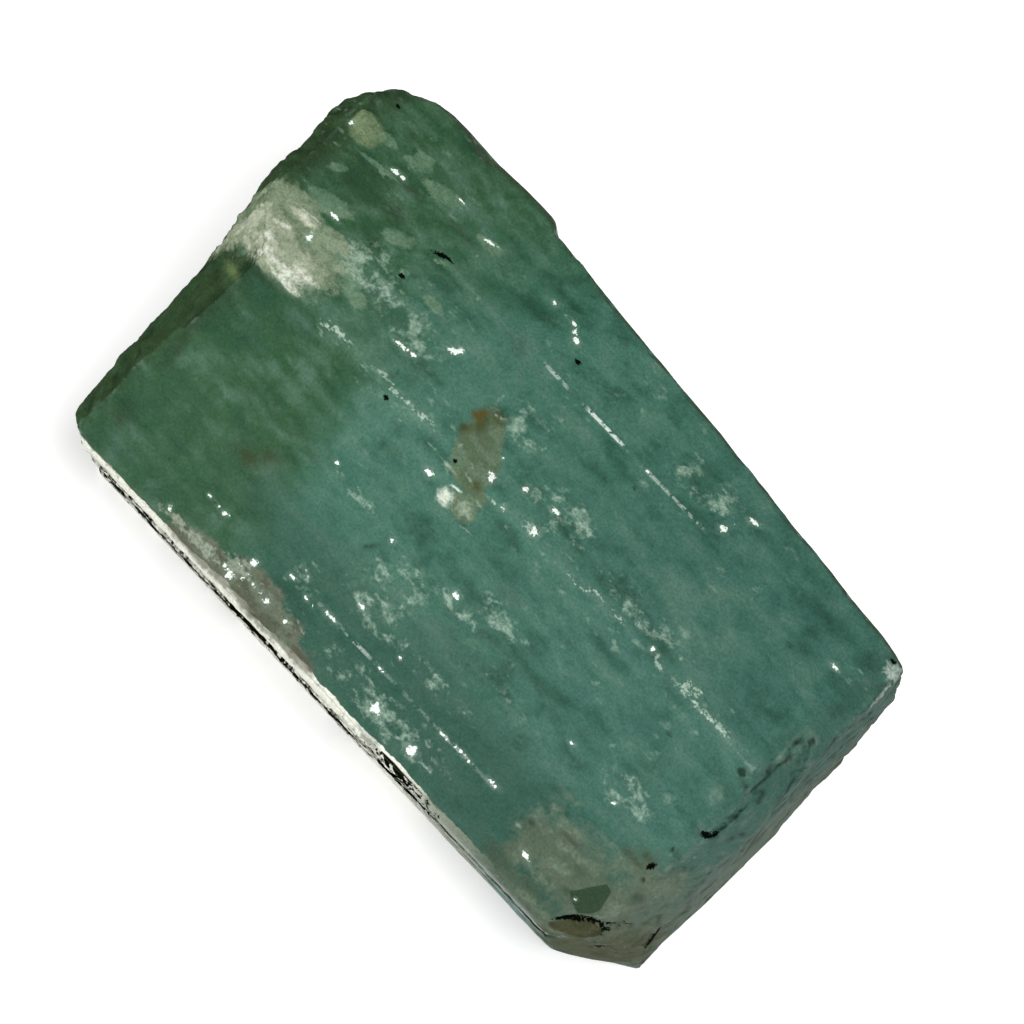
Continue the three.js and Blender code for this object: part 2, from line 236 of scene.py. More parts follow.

# What lies in and on the faces, from the first to the last laid over it. All lengths are mm.
# top, front, end, rear, corner: blobs on that side, each its place along the side, its distance
#   across it, half length, half width and turn in degrees if it has one
# outlines: straight-sided facets as corners on a side
# rim: how far it wanders, how far its fine teeth go, and how soft it is
# colour, other: its colour, and a second one in angular cells; over: how much of it goes on
# loose: how much of that comes and goes; dull: how matt it is; halo: the share of a painted glow round it
# deep: its reach into the crystal; raised: its height; torn: frayed into threads and scraps
# reach: a fine patch, measured this far out; soft: a broad patch, worked out at the vertices
patches = {
    "veils": {
        "top": [
            (-6.5, 1.4, 3.2, 1.4), (-4.4, 4.2, 2.2, 1.0), (4.4, 6.9, 2.6, 0.9), (0.0, 2.6, 1.6, 1.1),
            (8.0, 1.9, 2.2, 0.7),
        ],
        "front": [
            (0.2, 5.4, 2.6, 1.3), (-1.6, 6.0, 1.6, 1.4), (-3.4, 1.7, 2.6, 1.2), (-8.3, 1.95, 0.9, 0.5, 10),
            (10.6, 2.9, 2.0, 0.9), (13.0, 1.6, 0.5, 0.7), (-3.5, 2.6, 3.0, 1.6), (6.5, 5.6, 2.6, 0.9),
            (-11.0, 2.6, 1.6, 0.16, 50), (-12.0, 2.2, 1.2, 0.14, 48), (-10.6, 5.0, 2.2, 0.5, 12),
            (3.6, 9.8, 1.3, 0.35), (-4.6, 1.2, 2.4, 1.0),
        ],
        "rim": (2.4, 0.8, 1.5), "over": 0.36, "soft": True, "colour": (0.110, 0.210, 0.155),
    },
    "dusk": {
        "top": [
            (1.1, 0.9, 0.5, 0.1, 10), (10.7, 6.6, 2.6, 1.0), (-8.6, 2.5, 1.1, 0.5), (-7.2, 4.6, 0.8, 0.5),
            (11.6, 1.6, 1.6, 1.6), (-3.9, 5.3, 1.6, 0.7),
        ],
        "front": [
            (4.6, 9.2, 3.4, 0.9), (0.6, 8.7, 2.6, 0.6), (1.2, 7.4, 2.2, 0.3), (-1.9, 5.1, 0.8, 0.3, 50),
            (-6.5, 6.6, 1.0, 1.6), (-10.0, 9.7, 3.0, 0.6), (5.8, 7.1, 1.6, 0.35), (-9.4, 0.9, 2.0, 0.35),
            (-2.6, 8.9, 0.8, 0.5), (2.8, 2.2, 1.7, 0.9), (2.2, 5.0, 1.7, 0.8), (-10.9, 2.4, 1.2, 0.9),
            (9.8, 2.1, 1.6, 0.7), (2.6, 5.6, 1.4, 0.8), (-10.6, 2.6, 1.4, 0.8), (-12.0, 1.0, 1.8, 0.8),
            (2.2, 6.6, 2.4, 1.1),
        ],
        "rim": (1.8, 0.7, 1.4), "over": 0.58, "soft": True, "colour": (0.018, 0.062, 0.048),
    },
    "shade": {
        "top": [
            (-11.9, 5.3, 1.7, 1.1, 10), (-12.3, 6.0, 1.3, 0.3, 12), (-10.8, 6.6, 1.2, 0.3, 5),
            (-12.0, 8.3, 1.0, 0.25), (-10.4, 4.0, 0.9, 0.4, -20), (-12.9, 3.3, 0.6, 0.25),
            (-13.8, 4.9, 0.8, 2.0), (-13.6, 9.2, 0.8, 1.2), (-8.4, 6.9, 1.2, 0.3, 5),
            (-10.5, 5.4, 0.9, 0.6), (-11.9, 4.2, 0.9, 0.3, 10),
        ],
        "front": [
            (-13.1, 1.0, 0.9, 0.5), (-12.6, 2.6, 0.5, 1.0, 20), (-12.3, 4.6, 0.35, 2.4, 8),
            (-11.5, 0.62, 1.2, 0.2, 5), (-12.1, 8.6, 0.7, 1.0),
        ],
        "rim": (1.5, 0.7, 0.9), "over": 0.8, "raised": -0.02, "soft": True, "colour": (0.016, 0.036, 0.014),
    },
    "olive": {
        "front": [
            (12.4, 8.3, 3.3, 2.4), (13.4, 6.4, 1.8, 1.3), (10.3, 8.1, 2.2, 1.8, 15), (10.9, 10.8, 3.7, 1.8),
            (9.4, 9.2, 0.9, 0.9), (10.8, 12.2, 4.0, 2.2),
        ],
        "rim": (1.1, 0.4, 0.7), "over": 0.9, "loose": 0.3, "deep": 5, "soft": True,
        "colour": (0.086, 0.112, 0.071),
    },
    "oliveLight": {
        "front": [
            (9.8, 7.0, 1.4, 0.4, 5), (11.0, 7.6, 1.3, 0.35, 15), (10.6, 8.4, 1.1, 0.3, 25),
            (12.6, 6.7, 1.0, 0.6), (10.2, 9.3, 1.3, 0.35, 10), (13.4, 8.0, 0.35, 0.8, -20),
            (11.0, 10.2, 1.2, 0.25, 5), (14.0, 6.5, 0.7, 1.3), (9.3, 6.1, 0.9, 0.2),
            (11.2, 6.3, 1.0, 0.25, 8), (8.9, 7.4, 0.6, 0.5),
        ],
        "rim": (1.8, 0.9, 0.8), "over": 0.6, "deep": 4, "raised": 0.015, "soft": True,
        "colour": (0.130, 0.182, 0.126),
    },
    "oliveDark": {
        "front": [
            (11.4, 7.9, 0.4, 0.25, 30), (8.92, 7.95, 0.22, 0.2), (10.5, 9.8, 0.9, 0.3, 5),
            (12.3, 6.0, 0.9, 0.2), (10.4, 7.3, 0.7, 0.18), (8.9, 9.9, 1.2, 0.5), (14.2, 9.0, 0.5, 0.6),
            (11.0, 10.45, 0.9, 0.14, 5), (13.6, 7.2, 0.3, 0.6, 20), (11.6, 8.8, 0.5, 0.3, 40),
        ],
        "rim": (1.5, 0.9, 0.8), "over": 0.8, "deep": 4, "raised": -0.015, "soft": True,
        "colour": (0.026, 0.046, 0.025),
    },
    # painted shade: a facet of the broken corner, darker as it faces away from the light
    "cornerShadedFacet": {
        "outlines": [
            ("front", (
                (12.42, 7.45), (12.78, 7.5), (12.95, 8.5), (12.8, 8.85), (12.43, 9.2), (11.9, 9.02),
                (11.6, 8.78),
            )),
        ],
        "rim": (0.1, 0.08, 0.12), "over": 1.0, "loose": 0.1, "deep": 1.2, "raised": -0.05, "dull": 0.6,
        "colour": (0.024, 0.050, 0.026),
    },
    "cornerGrey": {
        "front": [(13.2, 10.4, 1.0, 0.6, 20), (12.4, 10.75, 1.2, 0.35, 5)],
        "end": [(-2.5, 6.5, 2.2, 3.0, 20)],
        "corner": [(0.0, 0.0, 3.4, 6.0)],
        "rim": (0.5, 0.3, 0.5), "over": 0.9, "loose": 0.4, "deep": 2.5, "dull": 0.9, "soft": True,
        "colour": (0.100, 0.098, 0.060), "other": (0.070, 0.074, 0.040),
    },
    "cornerBrown": {
        "outlines": [
            ("front", (
                (13.6, 9.1), (13.45, 9.75), (13.0, 10.1), (12.2, 10.45), (11.7, 10.5), (12.0, 9.95),
                (12.35, 9.45), (12.95, 9.0),
            )),
        ],
        "rim": (0.3, 0.3, 0.15), "over": 1.0, "loose": 0.1, "deep": 2.2, "dull": 1.0,
        "colour": (0.045, 0.047, 0.023), "other": (0.069, 0.072, 0.040),
    },
    "cornerShadow": {
        "front": [
            (12.25, 9.6, 0.6, 0.1, 53), (12.5, 9.4, 0.3, 0.17, 44), (12.95, 9.05, 0.35, 0.11, 22),
            (13.5, 8.8, 0.3, 0.08, 14), (13.72, 9.0, 0.1, 0.5),
        ],
        "rim": (0.3, 0.5, 0.35), "over": 1.0, "loose": 0, "deep": 1.5, "raised": -0.12, "reach": 0.35,
        "dull": 1.0, "colour": (0.002, 0.003, 0.001),
    },
    "flakes": {
        "top": [
            (-11.25, 7.83, 0.5, 0.42, 25), (-11.6, 7.45, 0.3, 0.16, 30), (-9.85, 7.4, 0.95, 0.42, 8),
            (-9.2, 7.85, 0.3, 0.08), (-9.6, 4.75, 0.75, 0.4, 28), (-12.2, 3.62, 1.2, 0.55, 22),
            (-7.3, 7.45, 0.7, 0.3, 10), (-8.0, 5.35, 0.4, 0.16, 20), (-10.0, 2.4, 1.0, 0.7, -20),
            (-7.97, 3.28, 0.25, 0.12, 5), (-13.0, 5.0, 0.5, 0.25, 50), (-6.9, 3.9, 0.6, 0.3),
            (-12.6, 7.4, 0.5, 0.3), (-8.5, 3.95, 0.3, 0.16, 30), (-12.0, 6.3, 1.3, 0.14, 10),
            (-8.9, 1.7, 0.7, 0.4),
        ],
        "rim": (1.0, 0.25, 0.35), "over": 0.85, "loose": 0.3, "raised": 0.02,
        "colour": (0.145, 0.240, 0.150), "other": (0.100, 0.185, 0.112),
    },
    "paleDisc": {
        "top": [(-13.35, 7.0, 0.8, 0.76, -20), (-13.7, 7.3, 0.5, 0.42)],
        "rim": (0.5, 0.1, 0.3), "over": 0.8, "loose": 0.3, "raised": 0.04, "colour": (0.215, 0.285, 0.155),
        "other": (0.150, 0.215, 0.115),
    },
    "feldsparSkin": {
        "top": [
            (-12.7, 2.2, 1.7, 1.2), (-11.4, 1.5, 2.1, 1.35), (-10.8, 1.1, 0.8, 1.0, -20),
            (-10.9, 2.7, 0.9, 0.5), (-13.8, 1.6, 0.9, 1.5),
        ],
        "rim": (0.8, 0.15, 0.3), "over": 0.95, "loose": 0.3, "deep": 4, "raised": 0.05,
        "colour": (0.150, 0.210, 0.128), "other": (0.235, 0.300, 0.195),
    },
    "feldspar": {
        "top": [
            (-11.5, 0.8, 2.3, 1.0), (-12.9, 1.2, 1.6, 1.0), (-10.9, 0.7, 0.7, 0.8), (-13.9, 0.8, 0.9, 1.1),
            (-12.3, 2.4, 0.8, 0.3, 10),
        ],
        "front": [(-12.2, 0.05, 2.2, 0.42), (-13.2, 0.1, 0.8, 0.4)],
        "rim": (0.8, 0.25, 0.5), "over": 0.9, "loose": 0.35, "deep": 4, "raised": 0.05,
        "colour": (0.280, 0.330, 0.225), "other": (0.430, 0.465, 0.350),
    },
    "feldsparHeart": {
        "top": [
            (-11.6, 0.25, 1.5, 0.22), (-10.5, 0.7, 0.8, 0.25, 10), (-12.6, 1.5, 0.6, 0.14, 20),
            (-12.2, 2.35, 0.4, 0.2), (-13.0, 0.2, 0.9, 0.22), (-14.1, 2.4, 0.2, 0.12),
            (-11.62, 1.98, 0.14, 0.4, 10), (-10.7, 0.35, 0.4, 0.14), (-12.6, 0.75, 0.5, 0.2, -10),
            (-12.2, 2.7, 0.9, 0.08, 8),
        ],
        "front": [(-11.0, 0.12, 0.8, 0.16), (-12.9, 0.15, 0.4, 0.1)],
        "rim": (1.3, 0.8, 0.7), "over": 0.75, "loose": 0.5, "deep": 1, "raised": 0.03,
        "colour": (0.70, 0.74, 0.63),
    },
    "oliveSpot": {
        "front": [(-12.8, 1.7, 0.8, 0.3, 26)],
        "rim": (0.5, 0.4, 0.8), "over": 0.95, "loose": 0.1, "deep": 3, "soft": True,
        "colour": (0.118, 0.178, 0.068),
    },
    "brownStain": {
        "front": [(12.7, 5.55, 0.6, 0.3, 5), (-7.6, 6.1, 0.95, 0.65), (-7.0, 5.5, 0.7, 0.8)],
        "rim": (0.8, 0.5, 1.0), "over": 0.9, "loose": 0.1, "soft": True, "colour": (0.026, 0.040, 0.012),
    },
    "greige": {
        "front": [
            (-3.6, 9.85, 2.6, 0.85), (-6.3, 10.1, 2.5, 0.75, 4), (-4.2, 9.3, 1.5, 0.6),
            (-2.0, 10.2, 1.9, 0.5, -8),
        ],
        "rim": (0.9, 0.5, 0.4), "over": 0.92, "loose": 0.25, "raised": -0.05,
        "colour": (0.125, 0.140, 0.094), "other": (0.088, 0.088, 0.055),
    },
    "greigeLight": {
        "front": [
            (-6.8, 9.95, 1.5, 0.35, 4), (-5.2, 9.55, 0.8, 0.4), (-3.6, 9.25, 0.9, 0.1),
            (-2.5, 9.65, 0.5, 0.18), (-4.4, 9.95, 0.7, 0.1), (-7.9, 10.0, 0.9, 0.2, 6),
            (-4.9, 9.15, 0.5, 0.1, -10), (-3.1, 9.75, 0.35, 0.1, 20), (-2.0, 9.35, 0.5, 0.1, -20),
        ],
        "rim": (1.5, 1.1, 0.6), "over": 0.6, "loose": 0.4, "raised": 0.03, "colour": (0.38, 0.45, 0.35),
    },
    # dark brown spots in the greige, partly stain and partly painted shadow in its hollows
    "greigeDark": {
        "front": [
            (-3.67, 9.17, 0.3, 0.08, 10), (-3.0, 9.95, 0.9, 0.2), (-4.7, 9.75, 0.5, 0.16),
            (-1.4, 10.2, 0.8, 0.25), (-5.6, 9.6, 0.3, 0.1, 30), (-2.2, 9.5, 0.3, 0.1, -20),
        ],
        "rim": (1.5, 1.4, 0.5), "over": 0.8, "loose": 0.3, "raised": -0.03, "colour": (0.060, 0.060, 0.036),
    },
    "inclusionBody": {
        "front": [(-0.65, 1.15, 0.68, 0.68), (-1.35, 0.35, 0.9, 0.35), (-0.55, 0.5, 0.5, 0.5)],
        "outlines": [
            ("top", (
                (-2.9, 1.3), (-2.35, -0.2), (-0.35, -0.2), (-0.62, 1.0), (-1.64, 2.45), (-1.96, 2.8),
                (-2.65, 2.72), (-3.0, 2.2),
            )),
        ],
        "rim": (0.5, 0.25, 0.35), "over": 0.95, "loose": 0.15, "raised": 0.03,
        "colour": (0.110, 0.163, 0.098), "other": (0.082, 0.120, 0.062),
    },
    "inclusionRust": {
        "top": [
            (-2.5, 1.85, 0.5, 0.85, 15), (-2.2, 2.5, 0.6, 0.3), (-2.75, 1.2, 0.3, 0.5),
            (-2.35, 2.7, 0.7, 0.25),
        ],
        "front": [(-0.85, 0.15, 0.35, 0.3)],
        "rim": (0.6, 0.3, 0.9), "over": 0.95, "loose": 0.2, "colour": (0.042, 0.050, 0.010),
    },
    "inclusionOrange": {
        "top": [(-2.78, 2.0, 0.34, 0.5)],
        "rim": (0.5, 0.9, 0.7), "over": 0.95, "loose": 0.2, "colour": (0.080, 0.054, 0.009),
    },
    "inclusionWhite": {
        "top": [
            (-1.49, 0.3, 0.32, 0.07, -30), (-2.32, 0.5, 0.12, 0.22), (-2.11, 1.52, 0.6, 0.05, 63),
        ],
        "front": [
            (-0.62, 1.2, 0.5, 0.5), (-1.22, 0.2, 0.36, 0.1, -12), (-0.18, 0.14, 0.35, 0.13, -5),
            (-2.1, 0.45, 0.6, 0.12), (-0.3, 0.6, 0.3, 0.12), (-0.1, 1.75, 0.5, 0.1, 5),
            (-1.9, 0.1, 0.4, 0.07),
        ],
        "rim": (0.9, 0.6, 0.9), "over": 0.75, "loose": 0.5, "raised": 0.04, "colour": (0.34, 0.42, 0.32),
    },
    "inclusionHeart": {
        "front": [(-1.42, 1.42, 0.5, 0.5), (-1.34, 0.84, 0.34, 0.08, 12)],
        "rim": (0.7, 0.4, 0.7), "over": 0.9, "loose": 0.2, "raised": 0.03, "colour": (0.74, 0.80, 0.68),
    },
    "blobs": {
        "top": [
            (2.5, 2.2, 0.7, 0.42, 30), (2.2, 1.55, 0.45, 0.25), (4.56, 1.44, 0.22, 0.16),
            (5.82, 1.25, 0.32, 0.22, 10), (6.95, 2.28, 0.22, 0.14), (6.3, 0.9, 0.3, 0.14),
            (6.45, 7.33, 0.5, 0.2, 15), (3.8, 7.15, 0.5, 0.25), (3.54, 7.62, 0.6, 0.12),
            (4.45, 6.5, 0.4, 0.2), (5.6, 6.6, 0.35, 0.16, 20), (8.5, 5.45, 0.3, 0.2, 5),
            (12.5, 5.6, 0.3, 0.12), (-3.67, 7.15, 0.4, 0.25), (-3.19, 7.65, 0.4, 0.14),
            (-6.09, 5.46, 0.14, 0.12), (-1.21, 3.7, 0.55, 0.25), (-0.82, 2.65, 0.5, 0.35),
            (-2.96, 3.5, 0.2, 0.12, -20), (8.65, 5.87, 0.2, 0.16), (3.0, 5.1, 0.5, 0.2),
            (7.93, 1.96, 0.45, 0.3), (-5.4, 7.6, 0.4, 0.14),
        ],
        "front": [
            (10.6, 4.15, 0.4, 0.16), (10.6, 5.0, 0.35, 0.16, 5), (11.35, 4.85, 0.4, 0.12),
            (4.54, 4.1, 0.2, 0.24), (9.1, 3.4, 0.14, 0.2), (11.9, 3.24, 0.4, 0.3), (4.0, 9.45, 0.6, 0.3),
            (4.9, 9.45, 0.3, 0.16), (1.95, 9.3, 0.4, 0.4), (2.24, 2.73, 0.4, 0.1, 10),
            (2.16, 4.15, 0.42, 0.25), (3.65, 8.43, 0.4, 0.14, 10), (8.75, 8.42, 0.3, 0.1),
            (-3.97, 3.9, 0.4, 0.08), (4.94, 5.08, 0.5, 0.12, -10),
        ],
        "rim": (1.4, 0.9, 1.0), "over": 0.6, "raised": 0.015, "colour": (0.235, 0.350, 0.270),
    },
    "ridgeHaze": {
        "top": [
            (-7.0, 0.25, 2.4, 0.7), (-4.3, 0.1, 1.4, 0.55), (5.2, 0.3, 1.5, 0.35), (8.2, 0.5, 1.0, 0.35),
            (0.9, 0.3, 0.9, 0.35),
        ],
        "front": [(2.6, 0.15, 2.0, 0.4)],
        "rim": (2.6, 1.6, 1.5), "over": 0.3, "raised": -0.02, "soft": True, "colour": (0.18, 0.29, 0.22),
    },
    "wisps": {
        "top": [
            (-1.6, 3.1, 1.6, 0.9), (-7.0, 2.6, 2.0, 1.0), (4.8, 6.9, 2.2, 0.8), (-9.4, 3.0, 1.6, 1.2),
            (2.0, 1.6, 1.6, 1.0), (6.6, 1.2, 2.4, 0.7),
        ],
        "front": [
            (-0.5, 4.9, 1.5, 1.0), (-0.6, 6.4, 1.7, 1.1), (1.8, 4.1, 1.2, 0.5), (4.7, 5.0, 1.0, 0.4),
            (-3.2, 7.7, 0.6, 0.4), (2.4, 6.9, 3.2, 0.4), (-3.8, 3.9, 1.2, 0.3), (3.0, 3.2, 1.6, 0.6),
            (2.2, 9.2, 3.6, 0.8), (10.8, 4.4, 1.4, 0.8),
        ],
        "rim": (1.0, 0.5, 0.5), "over": 0.85, "raised": 0.015, "torn": True, "colour": (0.29, 0.41, 0.32),
    },
    # pale curls along the worn ridge, partly worn white and partly painted glints
    "ridgeCurlsAndGlints": {
        "top": [
            (9.2, 0.1, 0.3, 0.14, 35), (9.55, 0.4, 0.14, 0.27, 30), (9.8, 0.62, 0.3, 0.14, 5),
            (4.9, 0.34, 0.55, 0.14, 12), (8.05, 0.42, 0.14, 0.14), (8.35, 0.15, 0.3, 0.11, -25),
            (11.4, 0.27, 0.5, 0.16), (10.5, 0.2, 0.5, 0.14, 10), (1.55, 0.28, 0.3, 0.22),
            (-7.9, 0.12, 0.3, 0.16, 5), (-6.33, 0.2, 0.42, 0.12, 18), (-4.55, 0.18, 0.5, 0.12, -5),
            (-8.5, 0.1, 0.24, 0.16), (-3.3, 0.05, 0.35, 0.14), (3.9, 0.1, 0.4, 0.12, -10),
            (6.0, 0.35, 0.4, 0.11), (-5.3, 0.1, 0.4, 0.14), (-3.9, 0.3, 0.3, 0.14, 20),
        ],
        "front": [(-8.9, 0.1, 0.2, 0.14), (-0.1, 0.15, 0.25, 0.11)],
        "rim": (1.8, 1.8, 0.6), "over": 0.75, "raised": 0.03, "reach": 0.35, "halo": 0.1,
        "colour": (0.42, 0.55, 0.44),
    },
    # painted highlight: the pale facet at the right end of the top face, towards the rear
    "endFacetHighlight": {
        "top": [(14.0, 7.3, 0.5, 0.5), (13.6, 8.2, 0.7, 0.18, -20), (14.35, 6.2, 0.1, 1.0, 8)],
        "rim": (0.8, 0.8, 0.5), "over": 0.85, "deep": 1, "colour": (0.44, 0.52, 0.46),
    },
    "rearVeils": {
        "rear": [
            (-6.0, 5.0, 4.0, 1.2, 10), (5.0, 7.0, 3.0, 0.8, -5), (1.0, 2.5, 2.5, 0.8), (9.0, 3.0, 1.8, 0.9),
            (-11.5, 3.0, 1.2, 1.6), (11.0, 8.0, 1.6, 0.8),
        ],
        "rim": (2.2, 0.9, 1.2), "over": 0.6, "deep": 4, "soft": True, "colour": (0.135, 0.225, 0.165),
        "other": (0.085, 0.165, 0.110),
    },
    "rearFeldspar": {
        "rear": [(-9.0, 8.3, 1.6, 0.9, 20), (-7.6, 8.9, 1.2, 0.5), (3.2, 4.6, 0.7, 0.35, 15)],
        "rim": (1.3, 0.8, 0.6), "over": 0.9, "loose": 0.5, "deep": 4, "raised": 0.04, "soft": True,
        "colour": (0.26, 0.31, 0.21), "other": (0.42, 0.46, 0.34),
    },
    "endLines": {
        "top": [(14.2, 5.6, 0.08, 1.6), (13.55, 1.6, 0.1, 1.3, 10), (13.3, 0.1, 0.12, 0.7)],
        "front": [
            (13.85, 7.4, 0.35, 0.6), (14.1, 5.2, 0.25, 0.6), (13.95, 6.4, 0.25, 0.4), (13.1, 1.8, 0.3, 0.5),
        ],
        "rim": (1.2, 1.0, 1.1), "over": 0.6, "deep": 1.2, "raised": 0.03, "soft": True,
        "colour": (0.135, 0.200, 0.155),
    },
    "endGrooves": {
        "top": [
            (13.94, 2.75, 0.2, 0.28, 25), (13.96, 1.75, 0.25, 0.12, 10), (13.72, 0.75, 0.14, 0.35),
            (13.6, 2.2, 0.08, 0.7),
        ],
        "front": [
            (14.04, 1.6, 0.12, 0.8), (14.0, 2.5, 0.12, 0.6), (13.26, 4.6, 0.1, 0.24),
            (13.24, 6.3, 0.16, 0.2, 20), (13.1, 0.45, 0.2, 0.25), (14.1, 4.3, 0.2, 0.35),
        ],
        "end": [(0.5, 17.0, 1.2, 0.2, 20), (2.4, 16.6, 1.0, 0.16, -10)],
        "rim": (1.1, 0.9, 0.6), "over": 0.9, "deep": 0.8, "raised": -0.07, "dull": 0.7,
        "colour": (0.006, 0.014, 0.009),
    },
    "softSpots": {
        "top": [
            (10.8, 4.9, 0.32, 0.22), (10.65, 2.74, 0.34, 0.19, -10), (-5.67, 4.45, 0.23, 0.16, 15),
            (-6.1, 7.0, 0.23, 0.14), (-1.9, 2.85, 0.3, 0.18, -30), (7.2, 3.9, 0.23, 0.12),
        ],
        "front": [
            (10.3, 1.47, 0.21, 0.16), (-2.34, 3.52, 0.16, 0.12), (8.95, 8.0, 0.23, 0.19),
            (-0.2, 6.0, 0.14, 0.14), (10.1, 4.15, 1.38, 0.08, -23), (11.2, 4.6, 0.25, 0.12),
            (-2.17, 5.0, 0.18, 0.6, -30), (3.1, 6.3, 0.29, 0.14),
        ],
        "rim": (0.8, 0.8, 1.1), "over": 0.9, "loose": 0.2, "raised": -0.05, "reach": 0.35,
        "colour": (0.01, 0.03, 0.02),
    },
    "pits": {
        "top": [
            (-8.16, 5.6, 0.41, 0.12, 22), (-7.85, 5.72, 0.3, 0.07, 5), (-1.95, 6.68, 0.17, 0.12),
            (-13.37, 8.74, 0.13, 0.12), (-8.42, 3.76, 0.16, 0.11), (13.7, 7.6, 0.17, 0.12),
        ],
        "front": [
            (-5.42, 0.39, 0.14, 0.12), (13.14, 5.65, 0.14, 0.25, -20), (-2.05, 0.15, 0.12, 0.1),
            (13.78, 3.2, 0.26, 0.16, 20), (13.95, 3.0, 0.11, 0.3), (13.86, 8.8, 0.14, 0.12),
            (13.3, 9.0, 0.12, 0.2, 30), (13.5, 10.5, 0.17, 0.44, 20), (13.64, 10.3, 0.24, 0.15),
            (13.75, 10.9, 0.16, 0.3, 20), (13.5, 9.2, 0.14, 0.2, 20),
        ],
        "corner": [(-0.38, 1.3, 0.2, 1.4), (1.1, 2.6, 0.2, 0.9)],
        "rim": (0.2, 0.5, 0.4), "over": 1.0, "loose": 0, "deep": 2, "raised": -0.04, "reach": 0.35,
        "dull": 1.0, "colour": (0.002, 0.003, 0.002),
    },
    # painted glints: small white sparkles, with a painted glow round them
    "sparkleGlints": {
        "top": [
            (-11.5, 6.66, 0.23, 0.11, 15), (-11.2, 6.7, 0.18, 0.08, -10), (-5.05, 3.25, 0.14, 0.29, -20),
            (-5.25, 3.05, 0.23, 0.12), (-6.55, 1.68, 0.34, 0.12), (-5.95, 1.78, 0.18, 0.12),
            (1.71, 1.57, 0.18, 0.14), (0.37, 1.28, 0.11, 0.16), (-2.6, 7.25, 0.16, 0.14),
            (6.06, 6.25, 0.15, 0.18), (-11.65, 3.41, 0.28, 0.1), (-11.61, 1.98, 0.11, 0.24),
            (-13.99, 6.72, 0.1, 0.12), (-0.7, 0.5, 0.14, 0.19), (-0.75, 0.62, 0.21, 0.12),
            (-9.2, 7.86, 0.16, 0.06), (-7.35, 7.5, 0.32, 0.08, 15), (-4.15, 7.72, 0.11, 0.1),
            (-3.1, 7.68, 0.16, 0.08, -20), (6.6, 7.4, 0.25, 0.1, 20), (12.45, 5.6, 0.18, 0.1),
            (1.75, 0.27, 0.16, 0.17), (7.72, 0.47, 0.11, 0.12), (2.75, 5.56, 0.23, 0.07),
            (0.37, 0.07, 0.12, 0.14), (-1.0, 1.5, 0.08, 0.08),
        ],
        "front": [
            (-1.72, 4.19, 0.11, 0.12, 20), (1.33, 3.85, 0.16, 0.12, -25), (8.0, 4.57, 0.18, 0.08),
            (9.65, 9.07, 0.23, 0.11, -15), (2.02, 9.38, 0.23, 0.17), (1.95, 9.2, 0.11, 0.12),
            (4.0, 9.5, 0.21, 0.17, 30), (4.05, 9.3, 0.09, 0.12), (-7.69, 8.31, 0.11, 0.08),
            (-6.84, 8.34, 0.16, 0.1, 15), (-2.42, 1.19, 0.21, 0.14, 20), (-5.09, 3.62, 0.1, 0.08),
            (-3.45, 8.14, 0.18, 0.1, 20), (-2.61, 8.31, 0.15, 0.08, -20), (-1.47, 8.14, 0.34, 0.12),
            (-4.84, 8.88, 0.14, 0.19), (-5.56, 9.85, 0.14, 0.12), (-5.2, 9.95, 0.16, 0.17, 20),
            (-4.3, 9.55, 0.18, 0.1, 10), (-3.57, 9.62, 0.16, 0.17), (-2.57, 9.6, 0.11, 0.14),
            (-8.45, 9.83, 0.11, 0.12), (1.18, 8.12, 0.18, 0.08), (4.4, 8.1, 0.23, 0.08),
            (5.34, 8.08, 0.11, 0.11), (5.8, 8.1, 0.11, 0.11), (6.98, 8.02, 0.25, 0.11),
            (12.0, 8.83, 0.08, 0.08), (-3.2, 7.6, 0.23, 0.08, -20), (1.39, 7.25, 0.09, 0.1),
            (-0.9, 6.9, 0.23, 0.1), (10.6, 5.0, 0.23, 0.08, 15),
        ],
        "rim": (0.4, 0.8, 0.4), "over": 1.0, "loose": 0.1, "raised": 0.03, "reach": 0.35, "halo": 0.25,
        "colour": (0.86, 0.94, 0.87),
    },
}

# Growth steps with painted glints along them: side, distance from the ridge, from x, to x, brightness.
glints = [
    ("top", 5.6, -2.6, -1.5, 0.5), ("top", 5.6, -0.5, 1.5, 1.0), ("top", 5.62, 2.6, 5.5, 0.4),
    ("front", 8.12, -3.2, 7.2, 0.12), ("front", 8.14, -0.6, 0.6, 0.45), ("front", 8.1, 4.2, 6.0, 0.3),
]

facetRim = 0.6  # mm from an outline's edge to its heart
cosSixty, sinSixty = 0.5, math.sqrt(0.75)  # each prism face turns 60 degrees from the next
cornerAxes = ((0.76, 0.65, 0), (0.25, -0.30, 0.92), (0.6, -0.7, -0.39))  # along, up and out of it


def sidesOf(points):
    # the points in each side's own axes: along it, away from the ridge or up, and out of it
    x, y, z = points.T
    behind, drop = y - crystal["ridgeY"], z - crystal["ridgeZ"]
    down, lift = behind * -cosSixty - drop * sinSixty, drop * cosSixty - behind * sinSixty
    rear = y - crystal["rearY"]
    corner = points - crystal["corner"]
    return {
        "top": np.stack((x, behind, drop), 1),
        "front": np.stack((x, down, lift), 1),
        "end": np.stack((behind, z, x - crystal["endX"]), 1),
        "rear": np.stack((x, rear * cosSixty - drop * sinSixty, rear * sinSixty + drop * cosSixty), 1),
        "corner": np.stack([corner @ axis for axis in cornerAxes], 1),
    }


